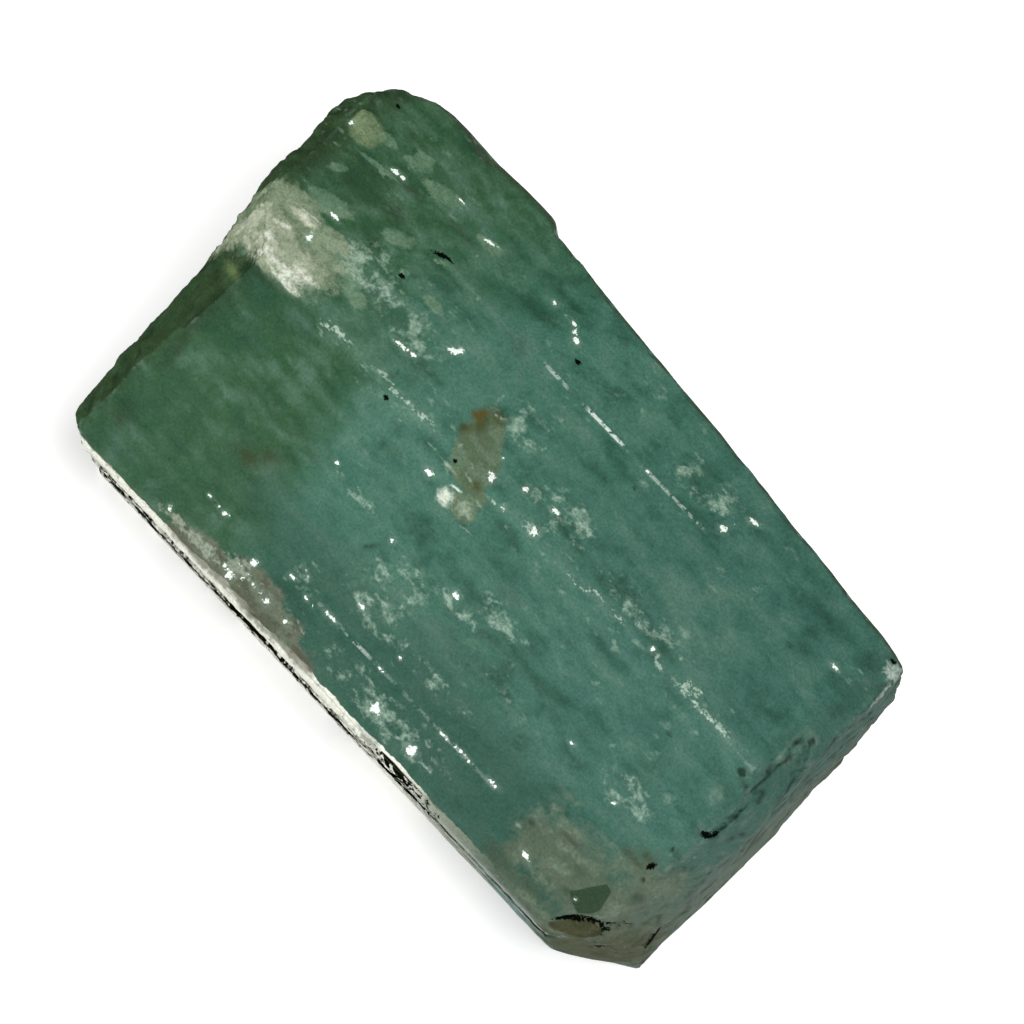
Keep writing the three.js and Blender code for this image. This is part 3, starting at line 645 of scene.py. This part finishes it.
def measurePatch(sides, p):
    # each point's way from its nearest blob as shares of the blob's size: 1 long on the rim
    nearest, gap = np.full_like(sides["top"], 9.0), np.full(len(sides["top"]), 9.0)
    for side, corners in p.get("outlines", []):  # straight-sided facets, convex and in turn
        inside = np.full_like(gap, 9.0)
        for (x1, y1), (x2, y2) in zip(corners, corners[1:] + corners[:1]):
            long = math.hypot(x2 - x1, y2 - y1)
            u, v, w = (sides[side] - (x1, y1, 0)).T
            inside = np.minimum(inside, ((x2 - x1) * v - (y2 - y1) * u) / long)
        inside[np.abs(w) > p.get("deep", 1.0)] = -3
        gap = np.minimum(gap, 1 - inside / facetRim)
    blobs = [(side, *blob) for side in sides for blob in p.get(side, [])]
    for side, along, away, half, wide, *turned in blobs:
        spin = math.radians(sum(turned) if side == "front" else -sum(turned))
        u, v, w = (sides[side] - (along, away, 0)).T
        u, v = u * math.cos(spin) - v * math.sin(spin), u * math.sin(spin) + v * math.cos(spin)
        way = np.stack((u / half, v / wide, w / p.get("deep", wide)), 1)
        far = np.linalg.norm(way, axis=1)
        reach = p.get("reach")
        if reach:  # beyond reach the way is cut off, so that it can't swing through 0 between blobs
            way[(np.abs(u) > half + reach) | (np.abs(v) > wide + reach)] = (0, 0, 40)
        closer = far < gap
        nearest[closer], gap[closer] = way[closer], far[closer]
    return nearest, 1 - gap


def readPoints(mesh):
    points = np.zeros(len(mesh.vertices) * 3)
    mesh.vertices.foreach_get("co", points)
    return points.reshape(-1, 3) / mm


def storeField(mesh, name, values):
    # numbers or vectors at the vertices, in place of older ones of that name
    old = mesh.attributes.get(name)
    if old:
        mesh.attributes.remove(old)
    kind, key = ("FLOAT", "value") if values.ndim == 1 else ("FLOAT_VECTOR", "vector")
    made = mesh.attributes.new(name, kind, "POINT")
    made.data.foreach_set(key, values.astype(np.float32).ravel())


def measurePatches(mesh, names):
    sides = sidesOf(readPoints(mesh))
    for name in names:
        way, field = measurePatch(sides, patches[name])
        storeField(mesh, name, way if "reach" in patches[name] else field)


def measureEdges(mesh, rounds):
    # how sharply the surface turns, per mm: above 0 on corners, below 0 in creases
    points, count = readPoints(mesh), len(mesh.vertices)
    normals = np.zeros(count * 3)
    mesh.vertex_normals.foreach_get("vector", normals)
    normals = normals.reshape(-1, 3)
    ends = np.zeros(len(mesh.edges) * 2, np.int32)
    mesh.edges.foreach_get("vertices", ends)
    a, b = ends.reshape(-1, 2).T
    span = points[b] - points[a]
    length = np.maximum((span * span).sum(1), 1e-8)
    turn = np.zeros(count)
    np.add.at(turn, a, -2 * (normals[a] * span).sum(1) / length)
    np.add.at(turn, b, 2 * (normals[b] * span).sum(1) / length)
    links = np.bincount(np.r_[a, b], minlength=count)
    turn = np.clip(turn / links, -6, 6)
    for _ in range(rounds):
        near = np.zeros(count)
        np.add.at(near, a, turn[b])
        np.add.at(near, b, turn[a])
        turn = turn * 0.4 + near / links * 0.6
    storeField(mesh, "turn", turn)


class Marks:
    # Masks from 0 to 1 that the relief and the colours share, so that they agree.
    def __init__(self, place, normal):
        self.place, self.normal, self.tree = place, normal, place.tree
        self.shading = self.tree.bl_idname == "ShaderNodeTree"
        self.x, self.y, self.z = place.split()
        self.nx, self.ny, _ = normal.split()
        self.behind = self.y - crystal["ridgeY"]  # distance back across the top face
        drop = self.z - crystal["ridgeZ"]
        self.down = self.behind * -cosSixty - drop * sinSixty  # distance down the front face
        self.past = self.down - crystal["lowerEdge"]  # distance below the lower edge
        self.fine = place.noise(0.2, 2, 0.65) - 0.5
        self.tiny = place.noise(0.1, 1, 0.7) - 0.5
        if self.shading:
            self.wobble, self.thick = self.measured("wobble"), self.measured("thick")
            self.tears = (self.measured("tears") * 0.85 + self.fine * 0.9).step(0.12, 1.0)
        else:
            self.wobble = place.noise(0.8, 2, 0.6) - 0.5
            self.thick = place.noise(0.9, 2, 0.65, (2, 1, 1), (4, 4, 4)) - 0.5
            drift = place.noise(2.6, 2, 0.5, shift=(4, 7, 2), out="Color")
            drift = drift.vec("SUBTRACT", (0.5, 0.5, 0.5)).vec("MULTIPLY", (2.4, 1.6, 1.6))
            self.swirled = place.vec("ADD", drift)
            curls = abs(self.swirled.noise(1.0, 1, 0.5, (1.4, 1, 1), (7, 3, 5)) - 0.5).step(0.16, 0.02)
            scraps = place.noise(0.5, 3, 0.6, (1.4, 1, 1), (2, 9, 4))
            self.tears = (curls * scraps.step(0.40, 0.56)).bigger(scraps.step(0.54, 0.68))
        self.top = self.z.step(16.9, 17.4)
        self.front = self.y.step(-4.9, -5.3) * self.z.step(8.0, 8.6)
        self.end = self.nx.step(0.25, 0.6) * self.x.step(10.5, 11.5)  # the broken right end
        self.start = self.nx.step(-0.3, -0.55) * self.x.step(-11, -12)  # the broken left end
        self.under = self.past.step(-0.06, 0.04) * self.y.step(-4.9, -5.4) * self.nx.step(0.4, 0.15)
        self.under = self.under * (1 - self.start)
        self.grooves = abs(place.noise(1.7, 2, 0.5, (1, 1, 1.6), (3, 1, 2)) - 0.5).step(0.06, 0.0)

    def measured(self, name, kind="FLOAT"):
        if self.shading:
            out = {"FLOAT": "Fac", "FLOAT_VECTOR": "Vector", "FLOAT_COLOR": "Color"}[kind]
            return addNode(self.tree, "ShaderNodeAttribute", {"attribute_name": name}, out)
        return addNode(
            self.tree, "GeometryNodeInputNamedAttribute", {"data_type": kind}, "Attribute", {"Name": name},
        )

    def field(self, name):
        # 1 in the heart of the patch's blobs, 0 on their rims and negative outside
        if "reach" in patches[name]:
            return 1 - self.measured(name, "FLOAT_VECTOR").vec("LENGTH", out="Value")
        return self.measured(name)

    def patch(self, name, field=None):
        wander, teeth, fade = patches[name]["rim"]
        ragged = self.wobble.timesPlus(wander, field or self.field(name))
        ragged = self.fine.timesPlus(teeth, ragged)
        if "reach" in patches[name]:
            ragged = self.tiny.timesPlus(1.3, ragged)
        mask = ragged.step(0.0, fade)
        return mask * self.tears if "torn" in patches[name] else mask

    def glint(self):
        found = None
        broken = (self.fine + self.wobble).step(-0.12, 0.06)
        for side, away, low, high, bright in glints:
            gap = abs((self.behind if side == "top" else self.down) - away + self.wobble * 0.08)
            shown = (self.top if side == "top" else self.front) * (broken * bright)
            here = gap.step(0.10, 0.04) * self.x.band(low, high, 0.3) * shown
            found = here if found is None else found.bigger(here)
        return found


def startTree(name):
    tree = bpy.data.node_groups.new(name, "GeometryNodeTree")
    for way in ("INPUT", "OUTPUT"):
        tree.interface.new_socket("Geometry", in_out=way, socket_type="NodeSocketGeometry")
    place = addNode(tree, "GeometryNodeInputPosition").scaled(1 / mm)
    return addNode(tree, "NodeGroupInput"), Marks(place, addNode(tree, "GeometryNodeInputNormal"))


def useTree(body, shape):
    out = shape.tree.nodes.new("NodeGroupOutput")
    shape.tree.links.new(shape.socket, out.inputs[0])
    body.modifiers.new(shape.tree.name, "NODES").node_group = shape.tree
    applyModifiers(body)


def applyModifiers(body):
    shown = body.evaluated_get(bpy.context.evaluated_depsgraph_get())
    made = bpy.data.meshes.new_from_object(shown)
    body.modifiers.clear()
    body.data = made


def makeCrystal():
    body = bpy.data.objects.new("emerald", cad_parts["emerald_crystal"].data.copy())
    scene.collection.objects.link(body)
    welded = bmesh.new()
    welded.from_mesh(body.data)
    bmesh.ops.remove_doubles(welded, verts=welded.verts, dist=1e-7)
    welded.to_mesh(body.data)
    welded.free()
    remesh = body.modifiers.new("remesh", "REMESH")
    remesh.mode = "VOXEL"
    remesh.voxel_size = crystal["grain"] * mm
    applyModifiers(body)
    measurePatches(body.data, [name for name in patches if "raised" in patches[name]])
    measureEdges(body.data, 6)
    addRelief(body)
    print("relief on", len(body.data.polygons), "faces")
    thin = body.modifiers.new("thin", "DECIMATE")
    thin.ratio = crystal["triangles"] / sum(len(p.vertices) - 2 for p in body.data.polygons)
    applyModifiers(body)
    body.data.name = "emerald"
    body.data.shade_smooth()
    measurePatches(body.data, patches)
    measureEdges(body.data, 3)
    layGround(body)
    return body


def addRelief(body):
    shape, m = startTree("crystalRelief")
    place, c = m.place, crystal
    height = (place.noise(4, 2) - 0.5) * c["swell"]
    lines = (place.noise(0.45, 2, 0.5, (9, 1, 1)) - 0.5) * c["growthLines"]
    height = height + lines * (1 - m.end) * (1 - m.start)
    height = height + (m.wobble * c["lumps"] + m.fine * c["grit"]) * (1 - m.under * 0.9)
    chipped = (place.noise(1.5, 3, 0.6, (1, 1, 1), (6, 2, 8)) - 0.5) * c["chippedEdges"]
    height = height - m.measured("turn").step(0.3, 2.5) * (chipped + c["wornEdges"])
    first, second = c["farEdgeChips"]
    farEdge = m.x.band(-10.0, -8.6, 0.9) * first + m.x.band(-6.4, -5.9, 0.4) * second
    height = height - farEdge * m.y.step(3.4, 4.6) * m.z.step(15.0, 16.5)
    lowCorner = m.x.step(14.2, 14.9) * m.y.step(-4, -5.5) * m.z.step(9, 7)
    height = height - lowCorner * c["lowCornerDrop"]
    for name, p in patches.items():
        if "raised" in p:
            height = height + m.patch(name) * (m.fine * abs(p["raised"]) * 1.5 + p["raised"])
    shells = abs(place.noise(2.2, 3, 0.6) - 0.5) * -1.6 + 0.3
    hollow = m.behind.band(-1.5, 1.8, 1.6) * c["leftHollow"]
    for end, shell, lumps in zip((m.start, m.end), c["shells"], c["endLumps"]):
        height = height + end * (shells * shell + m.wobble * lumps - m.grooves * c["seams"])
    height = height - m.start * hollow
    slivers = place.noise(0.35, 3, 0.6, (1.8, 1, 16), (4, 4, 4)) - 0.5  # long ones, up the under face
    lip = m.past.step(-0.25, -0.10) * (1 - m.under) * m.front
    above, below = c["slivers"]
    height = height + (m.under * below + lip * above) * slivers + m.glint() * c["stepEdges"]
    height = (height - c["inset"]) * m.z.step(0.05, 0.6)  # the resting face stays flat
    sockets = {"Geometry": shape, "Offset": m.normal.scaled(height * mm)}
    useTree(body, addNode(m.tree, "GeometryNodeSetPosition", None, 0, sockets))


def layPatch(m, name, colour, dull, shade, cells):
    p, field = patches[name], m.field(name)
    # a painted glow round the patch
    if "halo" in p:
        glow = (field + m.wobble * 1.5).step(-1.6, 0.6)
        colour = colour.colour(crystal["haloGreen"], glow * p["halo"])
    loose = p.get("loose", 0.7)
    mask = m.patch(name, field)
    cover = mask * (shade.timesPlus(loose * p["over"], (1 - loose) * p["over"]) if loose else p["over"])
    tone = mixColours(m.tree, p["colour"], p["other"], cells) if "other" in p else p["colour"]
    if "dull" in p:
        dull = dull.bigger(mask * p["dull"])
    return colour.colour(tone, cover), dull


def layGround(body):
    # The broad soft colours are worked out once at every vertex; the material reads them there.
    shape, m = startTree("crystalGround")
    place, c = m.place, crystal
    cloud = place.noise(3.0, 2, 0.6, (2, 1, 1)) - 0.5
    mottle = m.swirled.noise(0.9, 4, 0.66, (1.5, 1, 1), (2, 8, 1)) - 0.5
    streak = place.noise(0.5, 2, 0.6, (5, 1, 1)) - 0.5
    endGrain = place.noise(0.55, 3, 0.6, (1, 1, 1.3), (5, 5, 2))
    cellPlace = place.vec("ADD", m.wobble * 0.5).vec("MULTIPLY", (1.6, 2.2, 2.2))
    cells = addNode(m.tree, "ShaderNodeTexVoronoi", None, "Color", {"Vector": cellPlace, "Scale": 1.0})
    cells = cells.split()[0].step(0.25, 0.75)
    colour = mixColours(m.tree, c["teal"], c["blueTeal"], m.x.step(*c["blueFrom"]))
    # leaf green at the left, with a sharper limit on the front face
    frontLimit = m.x + cloud * 3 + mottle * 2 - (m.down - 8).smaller(2.0) * 0.15
    greenFront = frontLimit.step(*c["leafGreenFrom"]) * m.front
    elseLimit = m.x + cloud * 6 + mottle * 4 - m.behind.step(4, 10) * 2
    greenElse = elseLimit.step(*c["leafGreenElse"]) * (1 - m.front)
    colour = colour.colour(c["leafGreen"], (greenFront + greenElse).smaller(1.0))
    # milky mottling, thin flakes with one crisp side, and darker bands low on the front
    broad = mottle + streak * 0.55 + cloud * 0.5
    colour = colour.colour(c["paleGreen"], broad.step(-0.04, 0.34) * c["milkiness"])
    colour = colour.colour(c["deepGreen"], broad.step(0.04, -0.30) * c["darkness"])
    leaf = (m.swirled.noise(1.7, 1, 0.5, (1.7, 0.9, 1), (9, 2, 6)) * 7).sum("FRACT")
    leaf = leaf.step(0.15, 0.9) * leaf.step(1.0, 0.94)
    flaky = m.x.step(-3.5, -7.5) * m.top
    flaky = flaky + m.x.band(-2.4, 4.2, 1.4) * m.down.band(3.8, 7.4, 1.2) * m.front
    flaky = flaky * c["flakiness"] + 0.08
    colour = colour.colour(c["flakyGreen"], leaf * flaky * (mottle * 2 + 0.6))
    low = (m.down + cloud * 3 + mottle * 2).step(4.6, 8.0) * m.front
    corner = (m.down + m.x * 0.5 + mottle * 2).step(-1.5, -5.5) * m.front
    colour = colour.colour(c["deepGreen"], low.bigger(corner) * (0.62 - greenFront * 0.45))
    crowded = place.noise(2.2, 2, 0.5, shift=(1, 2, 3)) + m.x.step(3, -5) * 0.08
    crowded = (crowded - m.x.step(-4, -6) * m.front * 0.3).step(0.54, 0.70)
    ridge = abs(m.behind + m.wobble * 0.8).step(0.55, 0.1) * m.z.step(16.5, 17.2)
    ridge = ridge * m.x.band(-9.5, 11.5, 1)
    # the broken ends, and painted shade along the rear edge
    nearEnd = (m.x + m.wobble * 1.2 + mottle).step(12.9, 13.8) * 0.75
    colour = colour.colour(paintRightEnd(colour, m, cloud, endGrain), m.end.bigger(nearEnd))
    leftEdge = m.x - m.front * 1.5 + m.front * m.down.bigger(0.0) * 0.12
    leftDark = (leftEdge + m.wobble * 1.5 + mottle * 1.5).step(-12.7, -14.2).bigger(m.start)
    colour = colour.colour(paintLeftEnd(colour, m, cloud, mottle, endGrain), leftDark)
    # painted shade: a dark line where the top face turns away over the rear edge
    rearEdgeShade = m.ny.step(0.12, 0.5) * (m.z + m.wobble * 0.4).step(17.1, 17.45)
    colour = colour.colour(c["darkGreen"], rearEdgeShade * 0.8)
    dull = leftDark * 0.8
    shade = (m.fine + mottle * 1.2 + 0.5).step(0.1, 0.9)
    for name in patches:
        if "soft" in patches[name]:
            colour, dull = layPatch(m, name, colour, dull, shade, cells)
    # worn corners are paler; creases get painted shade
    turned = m.measured("turn")
    away = (1 - m.start) * (1 - m.ny.step(0.1, 0.3)) * (1 - m.behind.band(-0.7, 0.7, 0.3))
    worn = (turned + m.fine * 2 + m.wobble * 2).step(1.2, 3.0) * away
    colour = colour.colour(c["wornGreen"], worn * c["wornShare"])
    colour = colour.colour(c["creaseShadeGreen"], (turned + m.fine).step(-0.8, -2.5) * c["creaseShadeShare"])
    rough = mottle * 0.2 + m.end * 0.45 + m.start * 0.5 + leftDark * 0.2 + rearEdgeShade * 0.4 + ridge * 0.5
    shares = {
        "dull": dull, "rough": rough + c["gloss"], "crowded": crowded.bigger(ridge * 1.4),
        "cells": cells, "mottle": mottle, "bare": 1 - m.patch("olive") * 0.95,
        "tears": m.tears, "wobble": m.wobble, "thick": m.thick,
    }
    for name, value in [("ground", colour), *shares.items()]:
        settings = {"data_type": "FLOAT_COLOR" if name == "ground" else "FLOAT", "domain": "POINT"}
        sockets = {"Geometry": shape, "Name": name, "Value": value}
        shape = addNode(m.tree, "GeometryNodeStoreNamedAttribute", settings, 0, sockets)
    useTree(body, shape)


def paintRightEnd(colour, m, cloud, grain):
    upper, lower, pale, dark, seam = crystal["rightEnd"]
    tone = colour.colour(upper, 0.75).colour(lower, (m.z + cloud * 6).step(13, 9) * 0.8)
    tone = tone.colour(pale, grain.step(0.52, 0.72) * 0.55)
    tone = tone.colour(dark, grain.step(0.46, 0.28) * (cloud * 1.5 + 0.5))
    return tone.colour(seam, m.grooves * (m.wobble + 0.5).step(0.45, 0.6) * 0.8)


def paintLeftEnd(colour, m, cloud, mottle, grain):
    pale, dark, seam = crystal["leftEnd"]
    tone = colour.colour(crystal["darkGreen"], mottle + 0.8)
    tone = tone.colour(pale, (grain + cloud * 0.4).step(0.50, 0.72) * 0.45)
    tone = tone.colour(dark, (grain - cloud * 0.4).step(0.46, 0.28) * 0.6)
    return tone.colour(seam, m.grooves * (m.wobble + 0.5).step(0.45, 0.6) * 0.6)


def paintCrystal():
    material = bpy.data.materials.new("milkyBeryl")
    material.use_nodes = True
    tree, c = material.node_tree, crystal
    tree.nodes.clear()
    place = addNode(tree, "ShaderNodeTexCoord", None, "Object").scaled(1 / mm)
    m = Marks(place, addNode(tree, "ShaderNodeTexCoord", None, "Normal"))
    colour, dull, cells = m.measured("ground", "FLOAT_COLOR"), m.measured("dull"), m.measured("cells")
    flecks = place.noise(0.3, 2, 0.5, (1.7, 1, 1), (8, 5, 1)).step(0.58, 0.74)
    colour = colour.colour(c["fleckGreen"], flecks * m.measured("crowded") * c["fleckShare"])
    # the lower edge with its painted reflection and painted shadow; its cracks and shadow go matt
    colour, cracks = paintEdge(colour, m)
    dull = dull.bigger(cracks)
    shade = (m.measured("mottle") * 1.2 + m.fine + 0.5).step(0.1, 0.9)
    for name in patches:
        if "soft" not in patches[name]:
            colour, dull = layPatch(m, name, colour, dull, shade, cells)
    # painted glints: white along the growth steps
    colour = colour.colour(c["glintWhite"], m.glint() * 0.85)
    tinyShare, fineShare = c["fineGrain"]
    colour = colour.scaled(m.tiny.timesPlus(tinyShare, m.fine.timesPlus(fineShare, 1.03)))
    bumps = place.noise(0.16, 1, 0.7, shift=(2, 2, 7)) * c["fineBumps"]
    sockets = {"Height": bumps, "Distance": mm, "Strength": 1.0}
    bump = addNode(tree, "ShaderNodeBump", None, "Normal", sockets)
    milk = addNode(tree, "ShaderNodeBsdfPrincipled", None, 0, {
        "Base Color": colour,
        "Roughness": m.wobble.timesPlus(0.2, m.measured("rough")),
        "Normal": bump,
        "IOR": c["refraction"],
        "Specular IOR Level": c["specular"],
        "Transmission Weight": c["clearShare"],
    })
    matt = addNode(tree, "ShaderNodeBsdfPrincipled", None, 0, {
        "Base Color": colour, "Roughness": 1.0, "Normal": bump, "Specular IOR Level": 0.0,
    })
    both = addNode(tree, "ShaderNodeMixShader", None, 0, {0: dull, 1: milk, 2: matt})
    out = tree.nodes.new("ShaderNodeOutputMaterial")
    tree.links.new(both.socket, out.inputs["Surface"])
    return material


def paintEdge(colour, m):
    # the lower edge: white splinters with black cracks between them, and below it the under face, with
    # painted reflection of the table in white and painted shadow in black
    white, grey, black = crystal["splinterWhiteAndReflection"], crystal["brokenGrey"], crystal["crackAndShadowBlack"]
    bare = m.measured("bare").smaller(m.x.step(9.6, 7.2))
    left, right = m.x.step(8, 4), m.x.step(3, 8)  # smoother and greyer at the right
    thin = m.place.noise(0.16, 2, 0.65, (5, 1, 1), (3, 3, 3)) - 0.5
    beads = m.place.noise(0.25, 2, 0.7, (1.3, 1, 12), (2, 7, 1)) - 0.5
    blotches = m.x.band(1.8, 6.8, 1.6) + m.thick * 2.2 + m.wobble * 1.2 + m.fine * 2.4
    blotches = (blotches - 0.95).step(0, 0.12)
    # above the edge
    lipStart = m.past + m.wobble * 0.25 + m.thick * 0.3 + m.fine * 0.1
    lipStart = lipStart - m.x.step(-5, -8) * 0.14 - m.x.step(-11.2, -12.2) * 2
    lip = lipStart.step(-0.24, -0.20) * m.front * (1 - m.under) * bare
    lipTone = colour.colour(white, (thin * 1.5 + m.thick * 1.5 + 0.65).step(0.1, 0.8) * left)
    lipTone = lipTone.colour(grey, right * 0.85)
    seam = (lipStart + thin * 0.2).step(-0.16, -0.20) * (m.x + m.wobble * 4).band(-10.8, -4.5, 0.8)
    cracks = (thin + m.thick * 0.5 - m.fine * 0.3).step(-0.15, -0.21) * left
    cracks = cracks.bigger(seam).bigger(blotches * (m.past + m.thick * 0.2).step(-0.14, -0.08))
    colour = colour.colour(lipTone.colour(black, cracks), lip)
    # below the edge: painted reflection of the table, white and greyer at the right; black low down at the
    # left as painted shadow, with black blotches and streaks
    underTone = colour.colour(white, left * 0.95).colour(grey, right * 0.9)
    underTone = underTone.colour(grey, (beads + m.thick * 1.5).step(0.05, -0.25) * 0.8)
    level = m.z + beads * 5 + m.thick * 2 - m.x.step(-7, -3) * 1.2
    shadowAndBlotches = (level + m.x.step(-5, -2) * 1.2).band(1.2, 4.4, 0.4) * (m.x + m.wobble * 4).step(2.6, 1.6)
    shadowAndBlotches = shadowAndBlotches.bigger(blotches * level.band(2.4, 9.0, 0.4))
    shadowAndBlotches = shadowAndBlotches.bigger((beads * 0.7 + m.thick).step(0.30, 0.36) * left)
    colour = colour.colour(underTone.colour(black, shadowAndBlotches), m.under * bare)
    return colour, (lip * cracks).bigger(m.under * shadowAndBlotches * bare)


print("crystal")
emerald = makeCrystal()
print("milky beryl")
emerald.data.materials.clear()
emerald.data.materials.append(paintCrystal())
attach(emerald, "root")
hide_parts("emerald_crystal")
print("crystal has", len(emerald.data.polygons), "faces")

studio = {
    "table": 3.0,  # m
    "paper": (0.6, 0.6, 0.6),
    "paperGlow": 0.6,
    "sky": (1.0, 1.0, 0.95),
    "skyStrength": 0.22,
    "lights": [
        # name, direction from the crystal, distance m, width m, power W
        ("keyLight", (0.15, -0.42, 0.9), 0.6, 0.16, 3.0),
        ("skyLight", (-0.8, -0.1, 0.75), 0.7, 0.5, 0.9),
    ],
}

print("table and light")
floorMesh = bpy.data.meshes.new("table")
half = studio["table"] / 2
corners = [(-half, -half, 0), (half, -half, 0), (half, half, 0), (-half, half, 0)]
floorMesh.from_pydata(corners, [], [(0, 1, 2, 3)])
floor = bpy.data.objects.new("table", floorMesh)
scene.collection.objects.link(floor)
paper = bpy.data.materials.new("whitePaper")
paper.use_nodes = True
sheet = paper.node_tree.nodes["Principled BSDF"]
sheet.inputs["Base Color"].default_value = (*studio["paper"], 1)
sheet.inputs["Roughness"].default_value = 0.9
sheet.inputs["Emission Color"].default_value = (1, 1, 1, 1)
sheet.inputs["Emission Strength"].default_value = studio["paperGlow"]
floorMesh.materials.append(paper)

for name, way, away, wide, power in studio["lights"]:
    lamp = bpy.data.lights.new(name, "AREA")
    lamp.shape = "DISK"
    lamp.size = wide
    lamp.energy = power
    holder = bpy.data.objects.new(name, lamp)
    direction = Vector(way).normalized()
    holder.location = direction * away
    holder.rotation_mode = "QUATERNION"
    holder.rotation_quaternion = direction.to_track_quat("Z", "Y")
    holder.visible_camera = False
    scene.collection.objects.link(holder)
world = bpy.data.worlds.new("studio")
world.use_nodes = True
world.node_tree.nodes["Background"].inputs["Color"].default_value = (*studio["sky"], 1)
world.node_tree.nodes["Background"].inputs["Strength"].default_value = studio["skyStrength"]
scene.world = world
scene.view_settings.view_transform = "Standard"
